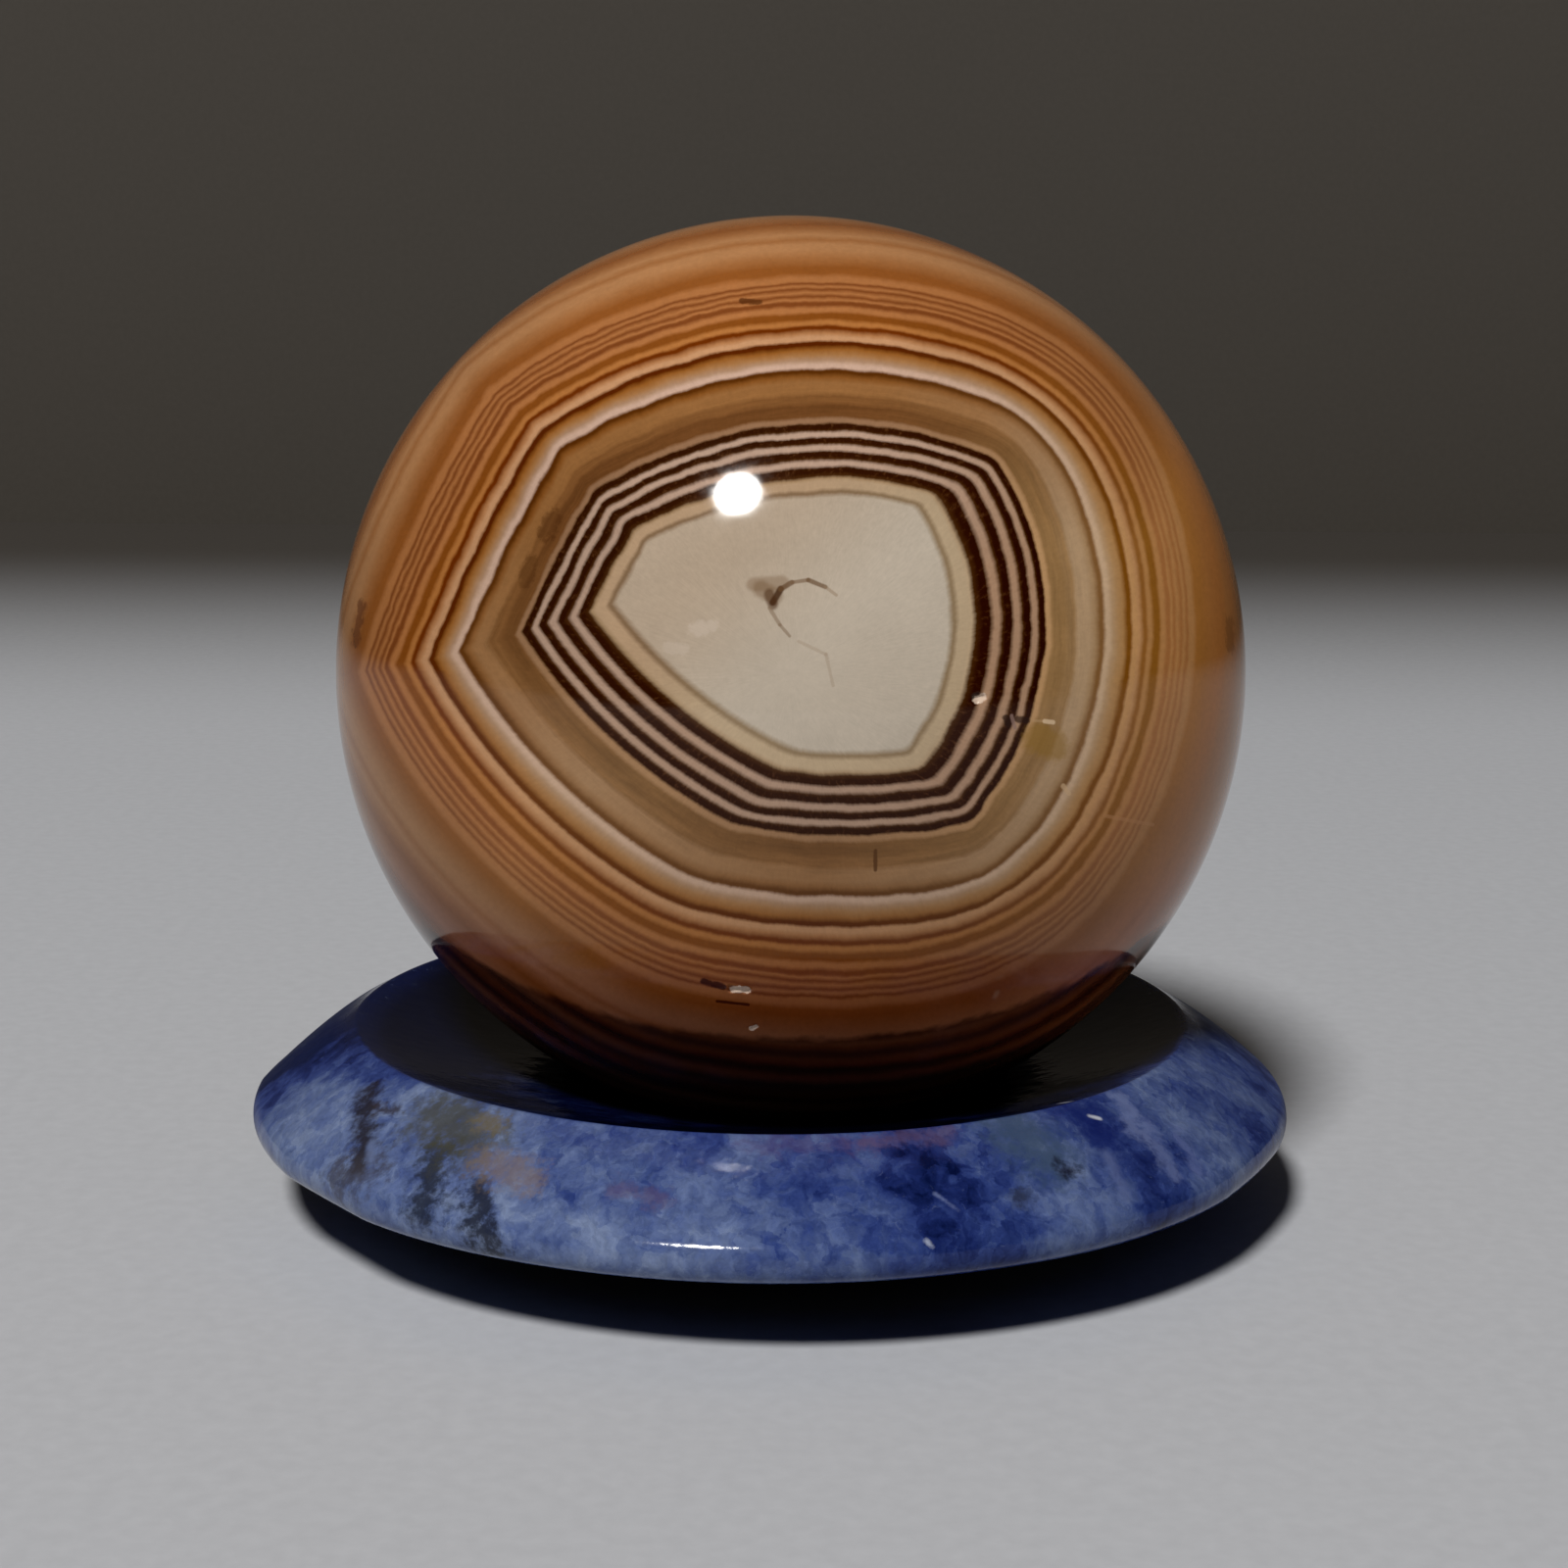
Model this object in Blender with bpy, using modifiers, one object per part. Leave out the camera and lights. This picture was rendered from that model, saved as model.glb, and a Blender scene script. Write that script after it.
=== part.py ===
"""An agate sphere resting in a ring stand of blue sodalite.

The ball is polished banded agate. The stand is a low turned ring with a raised rim: its upper side slopes
from a round edge up to the rim, then down as a shallow bowl to a round lip, and the ball sits on that lip.
A hole goes through the ring under the ball. The ring is cut by hand, so its hole and its seat are a little
to the right of its middle, and the ball sits there. The origin is below the middle of the ring's outer
edge, level with its flat foot, and +Z points up.
"""
import math

import bmesh
import bpy

MM = 0.001

# Driving dimensions, in millimetres
BALL_RADIUS = 17.15
BALL_CENTRE_HEIGHT = 20.2
RING_RADIUS = 20.0
EDGE_HEIGHT = 3.7
EDGE_RADIUS = 0.9
RIM_RADIUS = 16.0
RIM_HEIGHT = 6.9
RIM_ROUND = 0.25
LIP_RADIUS = 1.5
HOLE_RADIUS = 6.8
FOOT_RADIUS = 11.4
FOOT_ROUND = 0.6
SEAT_GAP = 0.3
SEAT_OFFSET = 0.65

# How fine the faceted surfaces are
BALL_SEGMENTS = 64
BALL_RINGS = 32
RING_STEPS = 80
SHARP_ANGLE = math.radians(40)


def clear_scene():
    for obj in list(bpy.data.objects):
        bpy.data.objects.remove(obj, do_unlink=True)


def new_collection(name):
    collection = bpy.data.collections.new(name)
    bpy.context.scene.collection.children.link(collection)
    return collection


def stone(name, colour, roughness):
    material = bpy.data.materials.new(name)
    material.use_nodes = True
    shader = material.node_tree.nodes["Principled BSDF"]
    shader.inputs["Base Color"].default_value = (*colour, 1.0)
    shader.inputs["Roughness"].default_value = roughness
    shader.inputs["Metallic"].default_value = 0.0
    shader.inputs["IOR"].default_value = 1.54
    return material


def add_object(name, mesh, material, collection):
    obj = bpy.data.objects.new(name, mesh)
    mesh.materials.append(material)
    collection.objects.link(obj)
    return obj


def arc(centre, radius, start, end, count):
    """Points on a circle from one angle to another, in degrees from the outward direction."""
    points = []
    for step in range(count + 1):
        angle = math.radians(start + (end - start) * step / count)
        points.append((centre[0] + radius * math.cos(angle), centre[1] + radius * math.sin(angle)))
    return points


def bulged(start, end, rise, count):
    """Points between two ends on a shallow curve that stands out by rise to the left of its run."""
    along = (end[0] - start[0], end[1] - start[1])
    length = math.hypot(*along)
    side = (-along[1] / length, along[0] / length)
    points = []
    for step in range(1, count):
        part = step / count
        out = rise * 4 * part * (1 - part)
        points.append((start[0] + along[0] * part + side[0] * out,
                       start[1] + along[1] * part + side[1] * out))
    return points


def ring_profile():
    """The stand's section, from the rim down its outer side, along the foot and up through the hole."""
    lip_centre_radius = HOLE_RADIUS + LIP_RADIUS
    reach = BALL_RADIUS + SEAT_GAP + LIP_RADIUS
    lip_centre_height = BALL_CENTRE_HEIGHT - math.sqrt(reach ** 2 - lip_centre_radius ** 2)

    rim = arc((RIM_RADIUS, RIM_HEIGHT - RIM_ROUND), RIM_ROUND, 115, 55, 3)
    edge = arc((RING_RADIUS - EDGE_RADIUS, EDGE_HEIGHT), EDGE_RADIUS, 46, -68, 8)
    foot_corner = arc((FOOT_RADIUS - FOOT_ROUND, FOOT_ROUND), FOOT_ROUND, -68, -90, 2)
    hole_corner = arc((HOLE_RADIUS + FOOT_ROUND, FOOT_ROUND), FOOT_ROUND, -90, -180, 3)
    lip = arc((lip_centre_radius, lip_centre_height), LIP_RADIUS, 180, 105, 5)

    shoulder = bulged(rim[-1], edge[0], 0.14, 3)
    underside = bulged(edge[-1], foot_corner[0], 0.0, 2)
    bowl = bulged(lip[-1], rim[0], -0.15, 4)
    return rim + shoulder + edge + underside + foot_corner + hole_corner + lip + bowl


def make_ball(collection, material):
    mesh = bpy.data.meshes.new("agate_ball")
    shape = bmesh.new()
    bmesh.ops.create_uvsphere(shape, u_segments=BALL_SEGMENTS, v_segments=BALL_RINGS,
                              radius=BALL_RADIUS * MM)
    shape.to_mesh(mesh)
    shape.free()
    ball = add_object("agate_ball", mesh, material, collection)
    ball.location = (SEAT_OFFSET * MM, 0, BALL_CENTRE_HEIGHT * MM)
    mesh.shade_smooth()
    return ball


def turned(name, profile):
    """A mesh of the profile, a closed loop of radius and height, turned about the vertical axis."""
    mesh = bpy.data.meshes.new(name)
    shape = bmesh.new()
    corners = [shape.verts.new((radius * MM, 0, height * MM)) for radius, height in profile]
    for index, corner in enumerate(corners):
        shape.edges.new((corner, corners[(index + 1) % len(corners)]))
    shape.to_mesh(mesh)
    shape.free()
    blank = bpy.data.objects.new(name, mesh)
    bpy.context.scene.collection.objects.link(blank)
    turn = blank.modifiers.new("turn", "SCREW")
    turn.axis = "Z"
    turn.angle = math.tau
    turn.steps = RING_STEPS
    turn.render_steps = RING_STEPS
    turn.use_merge_vertices = True
    turn.merge_threshold = 0.00001
    evaluated = blank.evaluated_get(bpy.context.evaluated_depsgraph_get())
    result = bpy.data.meshes.new_from_object(evaluated)
    bpy.data.objects.remove(blank, do_unlink=True)
    bpy.data.meshes.remove(mesh)
    result.name = name
    return result


def shift_seat(mesh):
    """Moves the hole, the lip and most of the foot sideways, and the bowl less and less out to the rim."""
    full_inside = HOLE_RADIUS + 2 * LIP_RADIUS
    none_outside = RIM_RADIUS - 1
    for vertex in mesh.vertices:
        radius = math.hypot(vertex.co.x, vertex.co.y) / MM
        share = (none_outside - radius) / (none_outside - full_inside)
        vertex.co.x += SEAT_OFFSET * MM * min(max(share, 0), 1)


def make_ring(collection, material):
    mesh = turned("stone_ring", ring_profile())
    shift_seat(mesh)
    ring = add_object("stone_ring", mesh, material, collection)
    mesh.shade_smooth()
    mesh.set_sharp_from_angle(angle=SHARP_ANGLE)
    return ring


def main():
    clear_scene()
    collection = new_collection("agate_sphere")
    agate = stone("agate", (0.30, 0.16, 0.08), 0.08)
    sodalite = stone("sodalite", (0.10, 0.14, 0.30), 0.15)
    make_ball(collection, agate)
    make_ring(collection, sodalite)


main()
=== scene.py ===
"""A banded agate sphere on a ring stand of blue sodalite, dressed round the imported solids.

The banding is a field of levels worked out in three dimensions: each side of the eye is a set of nested
arcs, the highest level of all sides counts, and one list of bands gives every level its colour. The ring is
turned from the same section as its solid, with a hand-cut unevenness. Lengths in the two stones' materials,
in the chips and in names that end in MM are in millimetres. All others are in metres.
"""
import math

import bmesh
import bpy
from mathutils import Matrix, Vector, noise


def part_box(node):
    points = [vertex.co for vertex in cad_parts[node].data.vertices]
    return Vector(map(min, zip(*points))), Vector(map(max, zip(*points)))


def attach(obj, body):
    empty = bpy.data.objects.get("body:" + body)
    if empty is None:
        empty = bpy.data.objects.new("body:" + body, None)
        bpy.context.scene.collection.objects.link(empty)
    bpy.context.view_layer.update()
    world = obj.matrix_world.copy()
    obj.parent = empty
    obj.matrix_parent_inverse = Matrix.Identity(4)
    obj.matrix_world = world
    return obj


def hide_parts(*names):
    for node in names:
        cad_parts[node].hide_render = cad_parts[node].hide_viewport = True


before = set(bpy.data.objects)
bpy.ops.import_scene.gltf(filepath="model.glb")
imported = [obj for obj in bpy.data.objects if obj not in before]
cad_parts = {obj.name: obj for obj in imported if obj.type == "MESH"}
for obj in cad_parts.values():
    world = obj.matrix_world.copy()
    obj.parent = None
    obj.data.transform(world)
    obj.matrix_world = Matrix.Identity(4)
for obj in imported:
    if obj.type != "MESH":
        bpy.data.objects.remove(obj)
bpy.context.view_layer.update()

MM = 0.001

# What the frame says about the two solids
BALL_LOW, BALL_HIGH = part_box("agate_ball")
RING_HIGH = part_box("stone_ring")[1]
BALL_CENTRE = (Vector(BALL_LOW) + Vector(BALL_HIGH)) / 2
BALL_RADIUS = (BALL_HIGH[2] - BALL_LOW[2]) / 2
RING_RADIUS = RING_HIGH[0]

# The photograph's camera
CAMERA_PLACE = Vector((0.0, -0.1110, 0.0367))
CAMERA_AIM = Vector((0.00043, 0.0, 0.0159))
CAMERA_ROLL = math.radians(0.43)
CAMERA_LENS = 67.5
SENSOR_WIDTH = 36.0
NEAREST_SEEN = 0.001

# The eye's axis runs from the ball's middle to the camera
EYE_AXIS = (CAMERA_PLACE - BALL_CENTRE).normalized()
EYE_RIGHT = Vector((0, 0, 1)).cross(EYE_AXIS).normalized()
EYE_UP = EYE_AXIS.cross(EYE_RIGHT)

# One round lamp, placed from where its image lies on the ball
LAMP_DIRECTION = Vector((-0.212, -0.598, 0.773)).normalized()
LAMP_DISTANCE = 1.5
LAMP_RADIUS = 0.135
LAMP_POWER = 86.0
LAMP_COLOUR = (1.0, 0.985, 0.96)
ROOM_COLOUR = (0.9, 0.95, 1.0, 1.0)
ROOM_STRENGTH = 0.022


class Nodes:
    """Short calls for building one material's node tree."""

    def __init__(self, name):
        self.material = bpy.data.materials.new(name)
        self.material.use_nodes = True
        self.tree = self.material.node_tree
        self.shader = self.tree.nodes["Principled BSDF"]

    def add(self, kind, values=(), **settings):
        node = self.tree.nodes.new(kind)
        for key, value in settings.items():
            setattr(node, key, value)
        for slot, value in dict(values).items():
            self.put(node.inputs[slot], value)
        return node

    def put(self, socket, value):
        if isinstance(value, bpy.types.NodeSocket):
            self.tree.links.new(value, socket)
        else:
            socket.default_value = value

    def math(self, operation, a, b=0.0, c=0.0):
        node = self.add("ShaderNodeMath", {0: a, 1: b, 2: c}, operation=operation)
        return node.outputs[0]

    def vector(self, operation, a, b=(0, 0, 0)):
        node = self.add("ShaderNodeVectorMath", {0: a, 1: b}, operation=operation)
        return node.outputs[1] if operation in ("DOT_PRODUCT", "DISTANCE", "LENGTH") else node.outputs[0]

    def scaled(self, vector, factor):
        node = self.add("ShaderNodeVectorMath", {0: vector, "Scale": factor}, operation="SCALE")
        return node.outputs[0]

    def combine(self, x, y, z=0.0):
        return self.add("ShaderNodeCombineXYZ", {0: x, 1: y, 2: z}).outputs[0]

    def noise(self, vector, scale, detail=3.0, roughness=0.5, distortion=0.0):
        node = self.add("ShaderNodeTexNoise", {"Vector": vector, "Scale": scale, "Detail": detail,
                                               "Roughness": roughness, "Distortion": distortion})
        return node.outputs["Fac"]

    def smooth(self, value, low, high, to_low=0.0, to_high=1.0):
        node = self.add("ShaderNodeMapRange", {"Value": value, "From Min": low, "From Max": high,
                                               "To Min": to_low, "To Max": to_high},
                        interpolation_type="SMOOTHSTEP")
        return node.outputs["Result"]

    def linear(self, value, low, high, to_low=0.0, to_high=1.0):
        node = self.add("ShaderNodeMapRange", {"Value": value, "From Min": low, "From Max": high,
                                               "To Min": to_low, "To Max": to_high})
        return node.outputs["Result"]

    def wash(self, vector, values):
        """A noise turned into shades, as one of the washes below says."""
        scale, detail, roughness, counted, shades = values
        return self.linear(self.noise(vector, scale, detail, roughness), *counted, *shades)

    def waver(self, vector, scale, detail, roughness=0.5):
        """A noise that goes to both sides of 0."""
        return self.math("SUBTRACT", self.noise(vector, scale, detail, roughness), 0.5)

    def mix(self, share, first, second, blend="MIX"):
        node = self.add("ShaderNodeMix", data_type="RGBA", blend_type=blend)
        self.put(node.inputs["Factor"], share)
        self.put(node.inputs["A"], first)
        self.put(node.inputs["B"], second)
        return node.outputs["Result"]

    def ramp(self, value, stops, interpolation="LINEAR"):
        node = self.add("ShaderNodeValToRGB", {"Fac": value})
        node.color_ramp.interpolation = interpolation
        elements = node.color_ramp.elements
        while len(elements) > 1:
            elements.remove(elements[-1])
        for index, (place, colour) in enumerate(stops):
            element = elements[0] if index == 0 else elements.new(place)
            element.position = place
            element.color = colour
        return node.outputs["Color"]

    def bend(self, value, marks):
        """A curve through the marks, straight between them, that goes on past both ends."""
        node = self.add("ShaderNodeFloatCurve", {"Value": value})
        curve = node.mapping.curves[0]
        node.mapping.use_clip = False
        points = curve.points
        while len(points) < len(marks):
            points.new(0.5, 0.5)
        for point, mark in zip(points, marks):
            point.location = mark
            point.handle_type = "VECTOR"
        node.mapping.update()
        return node.outputs[0]

    def polish(self, refraction, highlight, height, bump_strength):
        """How a polished stone reflects, and the slight bumps in its face."""
        self.put(self.shader.inputs["IOR"], refraction)
        self.put(self.shader.inputs["Specular IOR Level"], highlight)
        bump = self.add("ShaderNodeBump", {"Height": height, "Strength": bump_strength, "Distance": MM})
        self.put(self.shader.inputs["Normal"], bump.outputs[0])


def colour(red, green, blue):
    """A screen colour of 0 to 255 as the linear values that Blender wants."""
    values = []
    for part in (red, green, blue):
        part = part / 255
        values.append(part / 12.92 if part <= 0.04045 else ((part + 0.055) / 1.055) ** 2.4)
    return (*values, 1.0)


# Levels that are marked on every side of the eye: the core's thin line, the first dark edge, the first and
# the last pink line, the tan line, the white band, the light orange line and the end of the fine lines
MARK_LEVELS = (0.0, 0.6, 1.15, 2.27, 2.75, 4.75, 5.85, 8.5)
LEVEL_SPAN = 10.0

# Each side of the eye: the middle of its arcs, across the eye's axis, the radius of the core's line there,
# and how far past that line the other marks lie
EYE_SIDES = {
    "right": ((-1.52, 1.7), 6.87, (0.62, 1.45, 2.71, 3.15, 5.22, 6.28, 8.77)),
    "top": ((1.33, -6.59), 12.5, (0.48, 0.98, 1.97, 2.40, 4.28, 5.33, 7.86)),
    "upper_left": ((59.72, -30.43), 73.29, (0.50, 1.0, 2.0, 2.42, 4.17, 5.21, 7.80)),
    "lower_left": ((6.81, 12.03), 16.09, (0.66, 1.28, 2.51, 3.05, 5.29, 6.47, 9.27)),
    "bottom": ((1.85, 14.9), 17.57, (0.58, 1.14, 2.23, 2.70, 4.76, 5.85, 8.72)),
}

# How round the corners between the sides are. At the bottom and on the right they get rounder between two
# levels
LEFT_ROUNDING = 0.06
TOP_ROUNDING = 0.08
ROUNDING_LEVELS = (2.2, 6.0)
BOTTOM_ROUNDINGS = (0.12, 0.5)
RIGHT_ROUNDINGS = (0.25, 2.9)

# Behind the front the eye shrinks, drifts and warps more: the depths along its axis where that starts and is
# full, how much it shrinks, how far it drifts across the axis, and how much the broad waves grow
BACK_DEPTHS = (5.0, -16.0)
BACK_SHRINK = 0.38
BACK_DRIFT = (2.6, -2.2)
BACK_WARP = 2.4

# Waves in the layers: the noise's scale and detail, and how far they move a layer
BROAD_NOISE = (0.16, 2.0)
BROAD_WAVE = 0.08
SMALL_NOISE = (0.9, 3.0)
SMALL_WAVE = 0.20

# The fibres across the layers: how far the bearing, the level and the depth are stretched, the noise's scale,
# detail and roughness, and how far the fibres' jags move a layer
FIBRE_STRETCH = (9.0, 0.35, 0.3)
FIBRE_NOISE = (6.0, 4.0, 0.6)
FIBRE_JAG = 0.075

# Washes of shade over the stone: the noise's scale, detail and roughness, the part of it that counts, and the
# shades that it is turned into
CLOUD_WASH = (0.35, 4.0, 0.6, (0.3, 0.7), (0.95, 1.04))
STREAK_WASH = (9.0, 3.0, 0.6, (0.25, 0.75), (0.94, 1.05))
GRAIN_WASH = (5.0, 3.0, 0.7, (0.25, 0.75), (0.95, 1.04))
DIRT_WASH = (1.4, 4.0, 0.7, (0.35, 0.7), (1.08, 0.80))
DIRT_STRETCH = (2.2, 3.2, 0.2)
BALL_GLOSS_WASH = (1.6, 5.0, 0.7, (0.3, 0.7), (0.05, 0.11))

# The polish of the ball: how it refracts, the highlight's level, the ripples' noise and their strength
AGATE_REFRACTION = 1.54
AGATE_HIGHLIGHT = 0.22
RIPPLE_NOISE = (0.8, 2.0)
RIPPLE_STRENGTH = 0.004

# Levels where the core's own tone, the dark bands and the olive zone start and end
CORE_LEVELS = (0.6, 0.4)
DARK_START = (0.6, 0.75)
DARK_END = (2.75, 2.6)
OLIVE_START = (2.85, 3.0)
OLIVE_END = (4.4, 3.6)

# The core is cooler and paler in its lower right half, across this line
CORE_TONE_LINE = (-6.5, 0.5)

# Pale flecks in the dark bands
FLECK_STRETCH = (11.0, 1.0, 1.0)
FLECK_NOISE = (4.0, 4.0, 0.7)
FLECK_COLOUR = (150, 104, 70)
FLECK_COVER = 0.35
FLECK_LIMITS = (0.52, 0.72, 0.0, 0.5)

# The stone's colours, as on its warm upper side and on its paler right side
PALETTE = {
    "milk": ((180, 161, 140), (191, 178, 161)),
    "core_line": ((132, 106, 80), (146, 124, 96)),
    "cream": ((177, 148, 118), (186, 163, 133)),
    "cream_edge": ((164, 134, 101), (190, 165, 134)),
    "dark": ((54, 26, 6), (48, 17, 0)),
    "dark_soft": ((72, 43, 20), (70, 40, 12)),
    "pink_line": ((187, 157, 137), (176, 140, 112)),
    "tan_line": ((150, 113, 84), (194, 152, 108)),
    "olive": ((113, 73, 41), (160, 124, 82)),
    "olive_light": ((131, 88, 51), (163, 128, 88)),
    "beige": ((150, 104, 62), (191, 159, 124)),
    "beige_edge": ((134, 84, 40), (180, 146, 108)),
    "thin_dark": ((92, 50, 14), (142, 102, 62)),
    "white": ((204, 170, 149), (213, 180, 146)),
    "white_soft": ((174, 138, 110), (196, 160, 122)),
    "ochre": ((168, 120, 76), (192, 150, 104)),
    "ochre_deep": ((152, 96, 45), (188, 142, 92)),
    "rust_line": ((92, 40, 5), (140, 88, 30)),
    "orange_light": ((200, 150, 110), (209, 158, 106)),
    "orange": ((178, 123, 80), (204, 152, 104)),
    "brown": ((112, 50, 5), (162, 108, 54)),
    "amber": ((180, 117, 63), (196, 142, 88)),
    "brown_soft": ((136, 76, 26), (158, 104, 42)),
    "fine_light": ((178, 116, 68), (200, 144, 90)),
    "fine_dark": ((128, 70, 32), (184, 124, 74)),
    "outer_dark": ((150, 88, 38), (186, 124, 62)),
    "outer": ((169, 111, 64), (188, 124, 66)),
    "outer_light": ((187, 133, 87), (190, 122, 62)),
    "skin": ((160, 106, 56), (172, 104, 48)),
}

# Painted shade darkens the ball's underside below a plane that falls towards the front: its height and slope
# from the ball's middle, and how much darker the painted shade makes it
UNDERSIDE_HEIGHT = -8.3
UNDERSIDE_FRONT = -8.0
UNDERSIDE_SLOPE = 0.42
UNDERSIDE_SHADE = 0.34
UNDERSIDE_EDGE = (-0.35, 0.15)
UNDERSIDE_WAVE = 0.9

# Further down the painted shade eases again and faint lines show. Towards and in the dark part it is also
# redder
DEEP_RANGE = (-4.5, -0.5)
DEEP_LIFT = 2.2
FAINT_LINE_FREQUENCY = 9.0
FAINT_LINE_RANGE = (0.2, -0.6)
FAINT_LINE_STRENGTH = 0.4
RED_RANGE = (5.0, 0.5)
RED_TINT = (0.86, 0.70, 0.80, 1.0)

# Round the eye, from the left through the bottom, right and top: the bearing in degrees, how far the colours
# are those of the right side, how bright the stone is and how far its outer part lacks red
TONES = (
    (-180, 0.12, 0.84, 0.5), (-160, 0.34, 0.90, 0.9), (-140, 0.50, 0.92, 1.0), (-115, 0.34, 0.88, 0.9),
    (-90, 0.22, 0.86, 0.6), (-62, 0.46, 0.92, 0.4), (-35, 0.85, 0.96, 0.2), (-10, 1.00, 1.00, 0.1),
    (18, 0.96, 1.00, 0.0), (38, 0.50, 0.98, 0.0), (52, 0.16, 0.98, 0.0), (75, 0.02, 1.00, 0.0),
    (105, 0.00, 1.00, 0.0), (135, 0.00, 0.92, 0.0), (162, 0.00, 0.82, 0.1), (180, 0.12, 0.84, 0.5),
)
TONE_MIDDLE = (0.75, 1.5)
TONE_WAVE = 0.5

# Outside the white band the change to the pale tone is more sudden
PALE_LEVELS = (4.9, 6.4)
PALE_POWERS = (1.0, 1.7)

# Round the back the tone is the same everywhere
EVEN_TONE_DEPTHS = (2.0, -9.0)
EVEN_TONE = (0.25, 0.25, 0.25, 1.0)

# Where the brightness evens out, and where and how the outer part lacks red
EVEN_BRIGHT_LEVELS = (9.2, 10.6)
EVEN_BRIGHT_SHARE = 0.7
LACKS_RED_LEVELS = (7.2, 9.5)
LACKS_RED_TINT = (0.74, 0.84, 1.0, 1.0)

# Marks in the stone, seen along the eye's axis: both ends, the radius, the colour, the strength and how
# ragged they are
MARK_WIDENING = 1.6
MARK_RAGGEDNESS = 1.5
MARK_EDGE = (0.1, 0.6)
FRONT_DEPTHS = (1.0, 3.0)
RAG_NOISE = (3.0, 4.0, 0.7)
MARKS = (
    ((-1.20, 2.86), (-0.30, 2.92), 0.22, (140, 116, 92), 0.6, 0.2),
    ((-0.98, 2.72), (-0.55, 2.50), 0.26, (124, 98, 72), 0.6, 0.2),
    ((-0.72, 2.56), (-0.60, 2.22), 0.16, (92, 64, 42), 0.75, 0.2),
    ((-0.60, 2.28), (-0.34, 2.72), 0.10, (74, 48, 30), 0.9, 0.2),
    ((-0.34, 2.72), (0.02, 2.94), 0.08, (104, 76, 52), 0.8, 0.2),
    ((0.02, 2.94), (0.55, 3.02), 0.06, (122, 96, 72), 0.7, 0.2),
    ((0.55, 3.02), (1.10, 2.80), 0.07, (112, 86, 62), 0.8, 0.2),
    ((1.10, 2.80), (1.46, 2.54), 0.05, (148, 124, 100), 0.5, 0.2),
    ((-0.70, 2.10), (-0.36, 1.56), 0.06, (132, 110, 88), 0.6, 0.3),
    ((-0.36, 1.56), (-0.04, 1.20), 0.05, (128, 106, 84), 0.6, 0.3),
    ((0.25, 1.03), (1.14, 0.62), 0.05, (162, 142, 122), 0.4, 0.6),
    ((1.14, 0.62), (1.38, -0.39), 0.05, (160, 140, 120), 0.4, 0.6),
    ((-3.10, 1.40), (-2.55, 1.50), 0.20, (204, 188, 172), 0.4, 1.2),
    ((-4.00, 0.80), (-3.50, 0.74), 0.16, (202, 186, 170), 0.3, 1.2),
    ((8.20, -2.10), (8.75, -2.35), 0.50, (150, 112, 44), 0.6, 0.5),
    ((8.00, -1.50), (8.42, -1.52), 0.04, (190, 154, 112), 0.5, 0.2),
    ((8.42, -1.52), (8.72, -1.56), 0.07, (226, 196, 160), 0.8, 0.2),
    ((7.08, -1.40), (7.16, -1.62), 0.10, (44, 22, 12), 0.8, 0.8),
    ((7.48, -1.46), (7.82, -1.50), 0.10, (44, 22, 12), 0.8, 0.8),
    ((7.28, -1.34), (7.40, -1.74), 0.06, (146, 118, 108), 0.7, 0.5),
    ((10.70, -4.75), (12.60, -5.15), 0.06, (196, 140, 92), 0.55, 0.2),
    ((9.15, -3.70), (9.35, -3.95), 0.08, (214, 178, 138), 0.7, 0.6),
    ((2.83, -5.80), (2.84, -6.45), 0.06, (84, 52, 26), 0.8, 0.5),
    ((-15.30, 2.30), (-15.55, 1.00), 0.20, (84, 44, 26), 0.6, 1.6),
    ((-1.75, 12.68), (-1.20, 12.62), 0.10, (84, 44, 16), 0.8, 1.0),
    ((15.70, 1.90), (15.80, 1.10), 0.22, (120, 72, 30), 0.45, 1.4),
    ((-7.90, 5.10), (-8.20, 4.60), 0.26, (72, 42, 20), 0.5, 1.5),
    ((-8.65, 3.70), (-8.85, 3.00), 0.22, (76, 46, 22), 0.45, 1.5),
    ((-2.85, -10.40), (-2.20, -10.60), 0.11, (48, 18, 8), 0.85, 1.0),
    ((-2.40, -11.14), (-1.35, -11.24), 0.05, (54, 20, 6), 0.8, 0.4),
)

# Small chips broken out of the polish: both ends across the eye's axis, the radius and the depth
BALL_CHIPS = (
    ((6.10, -0.82), (6.28, -0.72), 0.17, 0.09),
    ((-1.88, -10.68), (-1.36, -10.70), 0.15, 0.09),
    ((-1.26, -12.15), (-1.10, -12.08), 0.11, 0.05),
)
CHIP_COLOUR = (226, 202, 182)
CHIP_WIDENING = 1.1
CHIP_RAGGEDNESS = 1.6
CHIP_EDGE = (0.15, 0.45)
CHIP_COVER = 0.85

# The bands from the core outwards, as levels and the colour reached there
INNER_BANDS = [
    (-0.50, "milk"), (-0.22, "milk"), (-0.03, "core_line"), (0.02, "core_line"), (0.16, "cream"),
    (0.45, "cream"), (0.55, "cream_edge"), (0.67, "dark_soft"), (0.80, "dark"), (0.94, "dark"),
    (1.06, "pink_line"), (1.16, "pink_line"), (1.30, "dark_soft"), (1.38, "dark"), (1.54, "dark"),
    (1.66, "pink_line"), (1.78, "pink_line"), (1.90, "dark_soft"), (1.96, "dark"), (2.10, "dark"),
    (2.20, "pink_line"), (2.31, "pink_line"), (2.42, "dark_soft"), (2.48, "dark"), (2.62, "dark"),
    (2.72, "tan_line"), (2.82, "tan_line"), (2.94, "olive"),
]
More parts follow.
